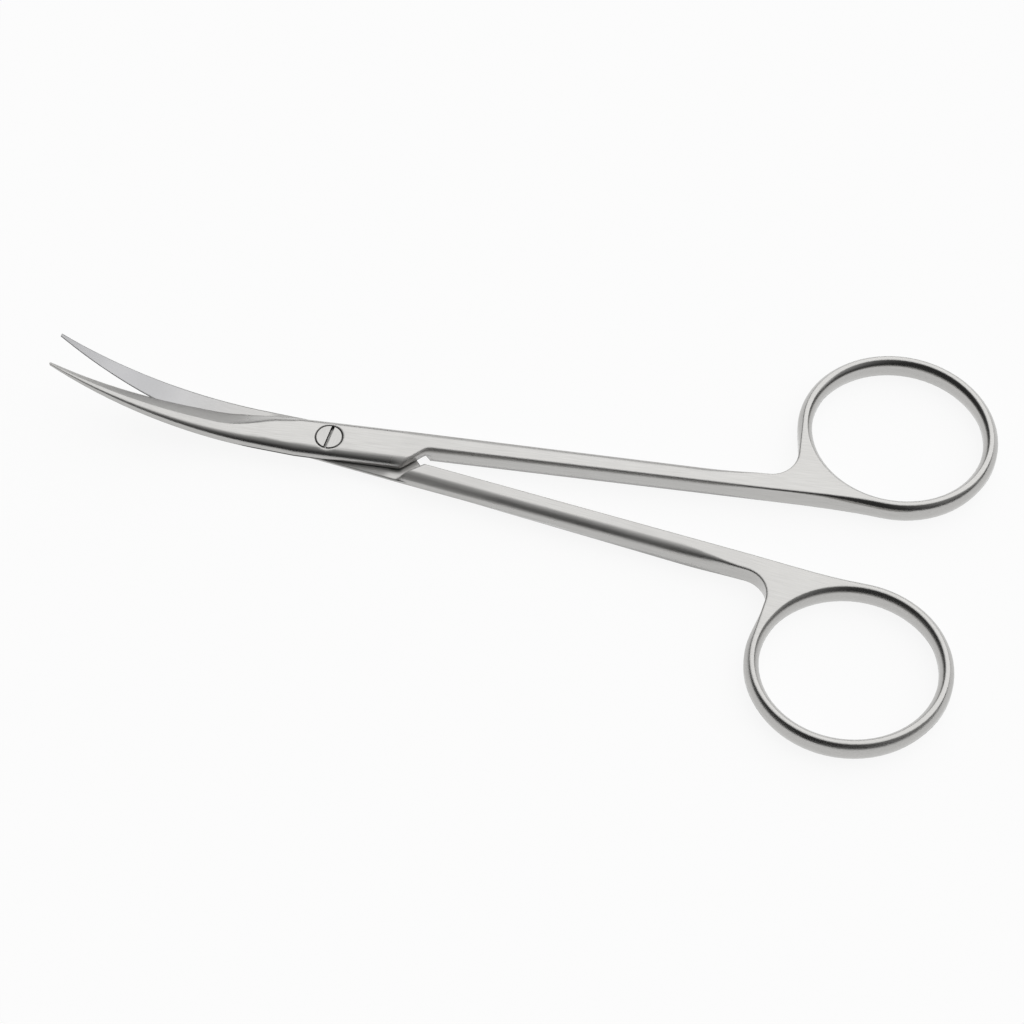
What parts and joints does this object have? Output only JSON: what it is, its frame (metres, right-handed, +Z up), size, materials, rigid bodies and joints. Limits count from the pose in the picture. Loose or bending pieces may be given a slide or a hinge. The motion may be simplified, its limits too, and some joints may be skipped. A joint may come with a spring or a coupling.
{
  "type": "dissecting scissors",
  "caption": "Fine dissecting scissors with upward curved blades, lap joint, slotted pivot screw and two oval finger rings.",
  "frame": {"origin": "on the pivot axis, in the plane of the undersides of joint, shanks and rings, on which the scissors lie", "axes": "+X from the pivot towards the finger rings, midway between the halves, blades towards -X; +Y towards the ring of the screw side half; +Z up along the pivot axis, the way the blades curve"},
  "size_m": [0.1141, 0.0564, 0.0111],
  "materials": {
    "forged_steel": "satin ground stainless steel",
    "screw_steel": "faced stainless steel"
  },
  "bodies": {
    "threaded_side": {"threaded_half": "forged_steel", "pivot_screw": "screw_steel"},
    "screw_side": {"screw_side_half": "forged_steel"}
  },
  "joints": [
    {"name": "pivot", "type": "hinge", "parent": "threaded_side", "child": "screw_side", "pos_m": [0, 0, 0], "axis": [0, 0, 1], "range_deg": [-7.2, 70]}
  ]
}
